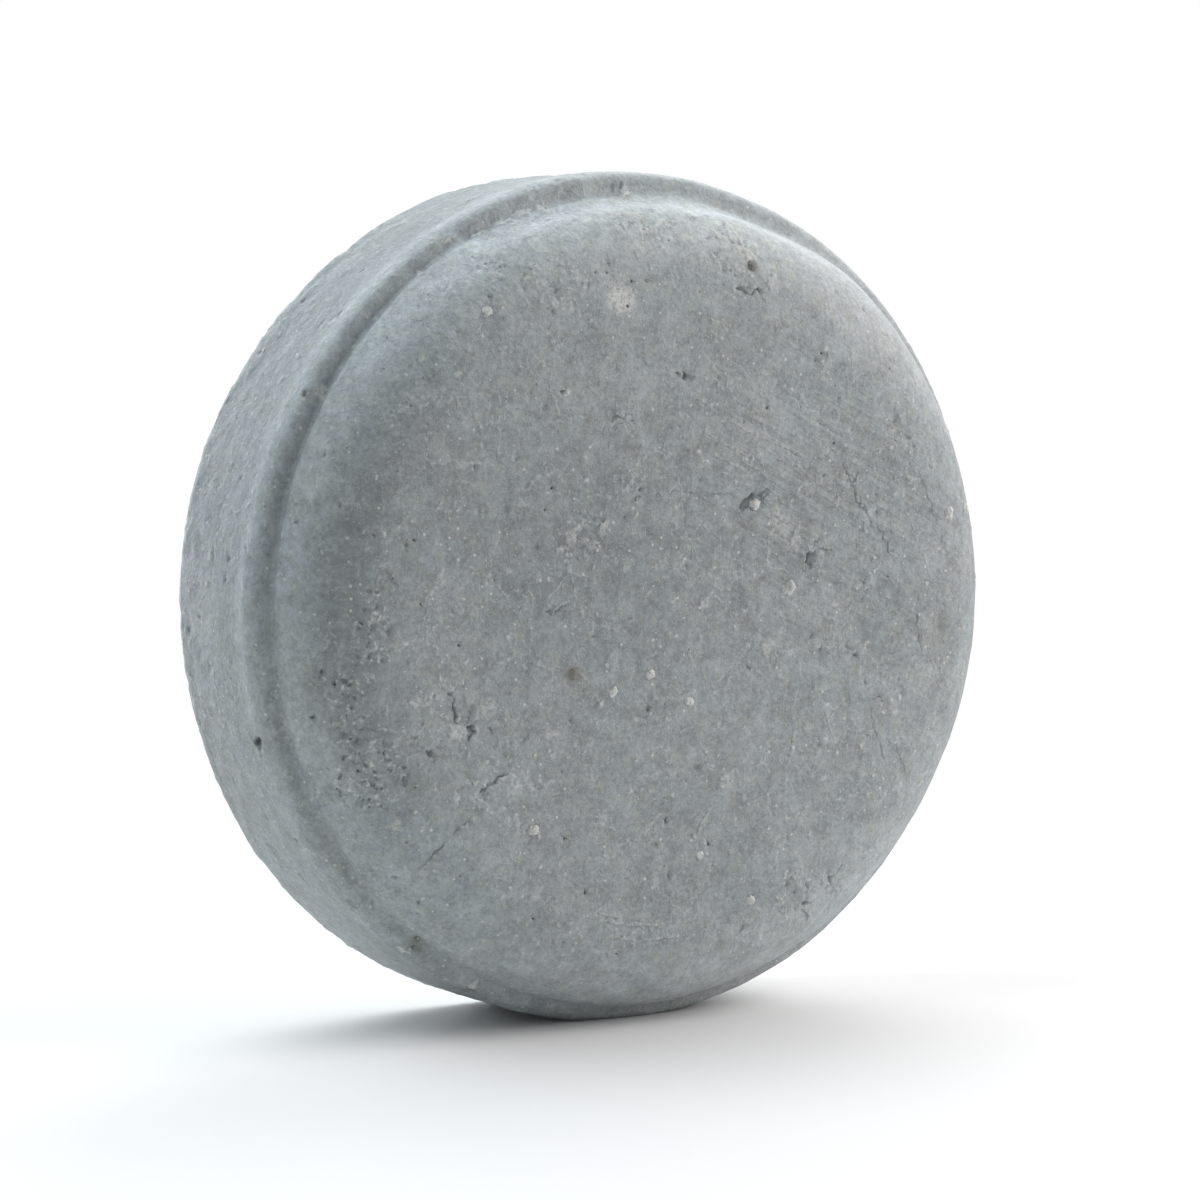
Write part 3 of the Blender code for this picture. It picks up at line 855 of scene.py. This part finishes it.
class Shader:
    """A short way to write down a material's nodes."""

    def __init__(self, name):
        self.material = bpy.data.materials.new(name)
        self.material.use_nodes = True
        self.tree = self.material.node_tree
        self.surface = self.tree.nodes["Principled BSDF"]
        coordinate = self.tree.nodes.new("ShaderNodeTexCoord")
        self.place = self.vector("SCALE", coordinate.outputs["Object"], scale=1 / MM)

    def feed(self, socket, value):
        """Link a socket or set it."""
        if isinstance(value, bpy.types.NodeSocket):
            self.tree.links.new(value, socket)
        elif socket.type == "RGBA":
            socket.default_value = (*value, 1.0)
        else:
            socket.default_value = value

    def node(self, kind, **inputs):
        """A new node with some of its inputs set or linked; _ stands for a space in a name."""
        node = self.tree.nodes.new("ShaderNode" + kind)
        for name, value in inputs.items():
            self.feed(node.inputs[name.replace("_", " ")], value)
        return node

    def vector(self, operation, *values, scale=1.0):
        """A vector sum, product or scaling."""
        node = self.node("VectorMath")
        node.operation = operation
        for socket, value in zip(node.inputs, values):
            self.feed(socket, value)
        if operation == "SCALE":
            self.feed(node.inputs["Scale"], scale)
        return node.outputs["Vector"]

    def math(self, operation, *values, clamp=False):
        """Arithmetic with two or three numbers."""
        node = self.node("Math")
        node.operation = operation
        node.use_clamp = clamp
        for socket, value in zip(node.inputs, values):
            self.feed(socket, value)
        return node.outputs["Value"]

    def turned(self, angle):
        """The place turned about the Y axis, for a slanted pattern."""
        return self.node("Mapping", Vector=self.place, Rotation=(0.0, angle, 0.0)).outputs["Vector"]

    def noise(self, scale, detail, roughness, place=None):
        """Noise from 0 to 1, with scale in lumps per millimetre."""
        place = place or self.place
        node = self.node("TexNoise", Vector=place, Scale=scale, Detail=detail, Roughness=roughness)
        return node.outputs["Fac"]

    def bends(self, scale, detail, amount):
        """Three noises round zero, in millimetres, for bending a pattern."""
        colour = self.node("TexNoise", Vector=self.place, Scale=scale, Detail=detail).outputs["Color"]
        return self.vector("SCALE", self.vector("SUBTRACT", colour, (0.5, 0.5, 0.5)), scale=amount)

    def edges(self, scale, place):
        """Distance to the edge between neighbouring cells, in cell widths."""
        node = self.node("TexVoronoi", Vector=place, Scale=scale)
        node.feature = "DISTANCE_TO_EDGE"
        return node.outputs["Distance"]

    def cells(self, scale, place=None):
        """Distance to the nearest of scattered points, and two random numbers for each."""
        node = self.node("TexVoronoi", Vector=place or self.place, Scale=scale)
        split = self.node("SeparateColor")
        self.tree.links.new(node.outputs["Color"], split.inputs["Color"])
        return node.outputs["Distance"], split.outputs["Red"], split.outputs["Green"]

    def ramp(self, value, low, high, to_low=0.0, to_high=1.0):
        """A value brought from one range to another and kept inside it."""
        node = self.node("MapRange", Value=value, From_Min=low, From_Max=high, To_Min=to_low, To_Max=to_high)
        node.interpolation_type = "SMOOTHSTEP"
        return node.outputs["Result"]

    def specks(self, scale, small, large, share):
        """Round specks in a share of the cells, each of its own size, in cell widths."""
        distance, random, _ = self.cells(scale)
        chosen = self.ramp(random, 1 - share, 1.0, 0.0, large - small)
        size = self.math("MULTIPLY", self.math("GREATER_THAN", random, 1 - share),
                         self.math("ADD", chosen, small))
        return self.math("MULTIPLY", self.math("SUBTRACT", size, distance), 8 / large, clamp=True)

    def mix(self, share, first, second):
        """A mix of two colours."""
        node = self.node("Mix")
        node.data_type = "RGBA"
        for number, value in ((0, share), (6, first), (7, second)):
            self.feed(node.inputs[number], value)
        return node.outputs[2]

    def dab(self, colour, mask, strength, paint):
        """A colour with another painted over it where the mask is."""
        return self.mix(self.math("MULTIPLY", mask, strength), colour, paint)

    def vary(self, bright, pattern, amount):
        """A brightness made uneven by a pattern from 0 to 1."""
        return self.math("MULTIPLY_ADD", pattern, amount, self.math("SUBTRACT", bright, amount / 2))

    def attribute(self, name):
        """A number painted on the mesh."""
        node = self.node("Attribute")
        node.attribute_name = name
        return node.outputs["Fac"]

    def bump(self, height, distance, strength, **normal):
        """Fine relief, with its height in millimetres."""
        node = self.node("Bump", Height=height, Distance=distance * MM, Strength=strength, **normal)
        return node.outputs["Normal"]


WEAR_SLANT = math.radians(-27.0)
COOL_SOAP = (0.33, 0.366, 0.382)
WARM_SOAP = (0.34, 0.365, 0.375)
OCHRE_SOAP = (0.342, 0.37, 0.356)
PALE_SOAP = (0.53, 0.55, 0.54)
WHITE_SPECK = (0.68, 0.69, 0.66)
# HOLE: the near-black colour of painted shade in holes, pits, cracks and pinholes
HOLE = (0.07, 0.076, 0.074)
OLIVE = (0.165, 0.168, 0.12)


def soap_material():
    """Dry pressed soap: grey, mottled, grainy and full of specks."""
    soap = Shader("soap_fine")
    patches = soap.noise(0.13, 3.0, 0.55)
    mottle = soap.noise(0.7, 3.0, 0.6)
    ochre = soap.noise(0.9, 4.0, 0.65, soap.vector("ADD", soap.place, (31.0, 7.0, 13.0)))
    grain = soap.noise(2.4, 2.0, 0.7)
    dusty = soap.noise(6.5, 1.0, 0.6)
    streaks = soap.noise(1.0, 3.0, 0.6, soap.vector("MULTIPLY", soap.place, (2.6, 0.5, 0.16)))
    colour = soap.mix(soap.ramp(patches, 0.36, 0.64), COOL_SOAP, WARM_SOAP)
    colour = soap.mix(soap.ramp(ochre, 0.46, 0.68), colour, OCHRE_SOAP)
    bright = 1.0
    for pattern, amount in ((mottle, 0.80), (grain, 0.75), (dusty, 0.36), (streaks, 0.16)):
        bright = soap.vary(bright, pattern, amount)
    slanted = soap.vector("MULTIPLY", soap.turned(WEAR_SLANT), (0.12, 0.5, 4.2))
    wear = soap.math("SUBTRACT", soap.noise(1.0, 2.0, 0.6, slanted), 0.5)
    bright = soap.math("MULTIPLY_ADD", wear, soap.math("MULTIPLY", soap.attribute("worn"), 0.85), bright)
    # The brightness is scaled by the tone from the mesh, most of which is painted light and shade
    bright = soap.math("MULTIPLY", bright, soap.attribute("tone_with_painted_light"))
    colour = soap.vector("SCALE", colour, scale=bright)
    wander = soap.vector("ADD", soap.bends(0.22, 3.0, 4.5), soap.bends(1.6, 2.0, 0.35))
    wander = soap.vector("ADD", soap.place, wander)
    veins = soap.math("MAXIMUM", soap.ramp(soap.edges(0.17, wander), 0.042, 0.0),
                      soap.ramp(soap.edges(0.42, wander), 0.060, 0.0, 0.0, 0.6))
    veins = soap.math("MULTIPLY", veins, soap.ramp(soap.noise(0.30, 4.0, 0.6), 0.46, 0.58))
    colour = soap.dab(colour, veins, soap.ramp(grain, 0.42, 0.62, 0.05, 0.55), PALE_SOAP)
    plates = soap.cells(0.42, wander)[2]
    colour = soap.vector("SCALE", colour, scale=soap.vary(1.0, plates, 0.10))
    colour = soap.dab(colour, soap.attribute("stain"), soap.ramp(mottle, 0.25, 0.60, 0.4, 1.0), OLIVE)
    colour = soap.dab(colour, soap.attribute("pale"), soap.ramp(grain, 0.35, 0.60, 0.25, 1.0), WHITE_SPECK)
    crumbs = soap.ramp(soap.noise(1.9, 3.0, 0.55), 0.645, 0.700)
    colour = soap.dab(colour, crumbs, 0.55, PALE_SOAP)
    colour = soap.dab(colour, soap.specks(1.25, 0.10, 0.19, 0.30), 0.70, WHITE_SPECK)
    colour = soap.dab(colour, soap.specks(2.8, 0.12, 0.26, 0.30), 0.45, PALE_SOAP)
    # Painted shade: tiny sunken holes are painted near black
    holes = soap.specks(0.85, 0.05, 0.10, 0.16)
    colour = soap.dab(colour, holes, 0.45, HOLE)
    # Painted shade in the pits, cracks and pinholes of the mesh, and the darker tone of some patches
    colour = soap.mix(soap.attribute("dark"), colour, HOLE)
    soap.feed(soap.surface.inputs["Base Color"], colour)
    soap.feed(soap.surface.inputs["Roughness"], soap.ramp(mottle, 0.2, 0.8, 0.55, 0.72))
    height = grain
    for pattern, amount in ((crumbs, 0.5), (holes, -1.2), (dusty, 0.4), (plates, 0.7), (veins, 0.5)):
        height = soap.math("MULTIPLY_ADD", pattern, amount, height)
    coarse = soap.bump(mottle, 0.22, 0.6)
    soap.feed(soap.surface.inputs["Normal"], soap.bump(height, 0.06, 0.8, Normal=coarse))
    soap.surface.inputs["Specular IOR Level"].default_value = 0.4
    return soap.material


def grain_material(name, light, shade, roughness):
    """A lump of undissolved soap or a plant fleck."""
    grain = Shader(name)
    cloud = grain.noise(1.8, 3.0, 0.6)
    fine = grain.noise(6.0, 2.0, 0.6)
    colour = grain.mix(grain.ramp(cloud, 0.35, 0.65), light, shade)
    colour = grain.mix(grain.ramp(fine, 0.55, 0.3, 0.0, 0.35), colour, shade)
    grain.feed(grain.surface.inputs["Base Color"], colour)
    rough = grain.ramp(fine, 0.2, 0.8, roughness - 0.08, roughness + 0.1)
    grain.feed(grain.surface.inputs["Roughness"], rough)
    grain.feed(grain.surface.inputs["Normal"], grain.bump(fine, 0.05, 0.7))
    return grain.material


# ---- studio

VIEW_TURN = math.radians(-31.09)
VIEW_RISE = math.radians(4.19)
VIEW_DISTANCE = 375.0
LENS = 126.9
SENSOR = 36.0
AIM_BACK = -0.41
AIM_RIGHT = -1.21
AIM_UP = -0.25


def direction(turn, rise):
    """The direction from the puck to something that is turned to its right and raised."""
    return Vector((math.sin(turn) * math.cos(rise), -math.cos(turn) * math.cos(rise), math.sin(rise)))


def make_camera():
    """A long lens, a little above the puck and turned to show its wall on the left."""
    back = direction(VIEW_TURN, VIEW_RISE)
    right = Vector((math.cos(VIEW_TURN), math.sin(VIEW_TURN), 0.0))
    up = back.cross(right)
    aim = Vector((0.0, AIM_BACK, AXIS_HEIGHT)) + right * AIM_RIGHT + up * AIM_UP
    data = bpy.data.cameras.new("camera")
    data.lens = LENS
    data.sensor_width = SENSOR
    data.clip_start = 0.01
    data.clip_end = 20.0
    data.dof.use_dof = False
    camera = add_object("camera", data)
    turned = Matrix((right, up, back)).transposed().to_4x4()
    camera.matrix_world = Matrix.Translation((aim + back * VIEW_DISTANCE) * MM) @ turned
    bpy.context.scene.camera = camera


# Soft lights: turn from the camera's side, rise, strength and colour
DISTANT_LIGHTS = (
    ("soft_left_back", -150.0, 4.0, 0.76, (0.96, 1.0, 1.03)),
    ("soft_right_back", 155.0, 30.0, 0.36, (1.0, 0.99, 0.98)),
    ("soft_back", 180.0, 45.0, 0.2, (1.0, 1.0, 1.0)),
)
NEAR_LIGHTS = (
    ("soft_upper_left", -90.0, 60.0, 0.55, (0.95, 1.04, 1.09)),
    ("soft_right", 90.0, 30.0, 0.67, (1.06, 0.99, 0.97)),
)
LIGHT_SPREAD = math.radians(45.0)
NEAR_DISTANCE = 300.0
ROOM_LIGHT = 0.26


def place_light(data, turn, rise, colour):
    """A light that shines at the middle of the puck."""
    data.color = colour
    to_light = direction(VIEW_TURN + math.radians(turn), math.radians(rise))
    lamp = add_object(data.name, data)
    lamp.location = (Vector((0.0, 0.0, AXIS_HEIGHT)) + to_light * NEAR_DISTANCE) * MM
    lamp.rotation_euler = to_light.to_track_quat("Z", "Y").to_euler()


def make_distant_light(name, turn, rise, strength, colour):
    """A wide distant light; strength is the brightness it gives a white surface."""
    data = bpy.data.lights.new(name, "SUN")
    data.energy = strength * math.pi
    data.angle = LIGHT_SPREAD
    place_light(data, turn, rise, colour)


def make_near_light(name, turn, rise, strength, colour):
    """A soft box that is near enough to be brighter on its own side of the puck."""
    data = bpy.data.lights.new(name, "AREA")
    data.shape = "DISK"
    data.size = 2 * NEAR_DISTANCE * MM * math.tan(LIGHT_SPREAD / 2)
    data.energy = strength * (math.pi * NEAR_DISTANCE * MM) ** 2
    place_light(data, turn, rise, colour)


def make_room():
    """A white room: bright where it is seen, dimmer as a fill light."""
    world = bpy.data.worlds.new("room")
    world.use_nodes = True
    tree = world.node_tree
    fill = tree.nodes["Background"]
    fill.inputs["Color"].default_value = (0.95, 1.0, 1.02, 1.0)
    fill.inputs["Strength"].default_value = ROOM_LIGHT
    seen = tree.nodes.new("ShaderNodeBackground")
    seen.inputs["Color"].default_value = (1.0, 1.0, 1.0, 1.0)
    seen.inputs["Strength"].default_value = 1.0
    path = tree.nodes.new("ShaderNodeLightPath")
    choose = tree.nodes.new("ShaderNodeMixShader")
    tree.links.new(path.outputs["Is Camera Ray"], choose.inputs["Fac"])
    tree.links.new(fill.outputs["Background"], choose.inputs[1])
    tree.links.new(seen.outputs["Background"], choose.inputs[2])
    tree.links.new(choose.outputs["Shader"], tree.nodes["World Output"].inputs["Surface"])
    bpy.context.scene.world = world


FLOOR_RADIUS = 150.0


def make_floor():
    """A wide white floor under the puck."""
    bm = bmesh.new()
    bmesh.ops.create_circle(bm, cap_ends=True, segments=96, radius=FLOOR_RADIUS * MM)
    mesh = bpy.data.meshes.new("floor")
    bm.to_mesh(mesh)
    bm.free()
    white = bpy.data.materials.new("floor_white")
    white.use_nodes = True
    surface = white.node_tree.nodes["Principled BSDF"]
    surface.inputs["Base Color"].default_value = (0.88, 0.88, 0.88, 1.0)
    surface.inputs["Roughness"].default_value = 0.8
    surface.inputs["Specular IOR Level"].default_value = 0.1
    mesh.materials.append(white)
    floor = add_object("floor", mesh)


# ---- assembly

def build():
    """The puck and its studio."""
    rng = np.random.default_rng(SEED)
    marks = listed_marks() + scattered_marks(rng) + grain_pockets()
    cake = make_skin(marks, rng)
    cake.data.materials.append(soap_material())
    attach(cake, "root")
    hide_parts("soap_puck")
    white = grain_material("white_grain_fine", (0.7, 0.71, 0.68), (0.54, 0.56, 0.54), 0.6)
    brown = grain_material("brown_fleck_fine", (0.25, 0.248, 0.225), (0.185, 0.182, 0.16), 0.7)
    for name in grain_nodes():
        if name.startswith("white"):
            make_lump(name, white)
        else:
            make_lump(name, brown)
    make_floor()
    make_room()
    for light in DISTANT_LIGHTS:
        make_distant_light(*light)
    for light in NEAR_LIGHTS:
        make_near_light(*light)
    make_camera()
    bpy.context.scene.view_settings.view_transform = "Standard"


build()
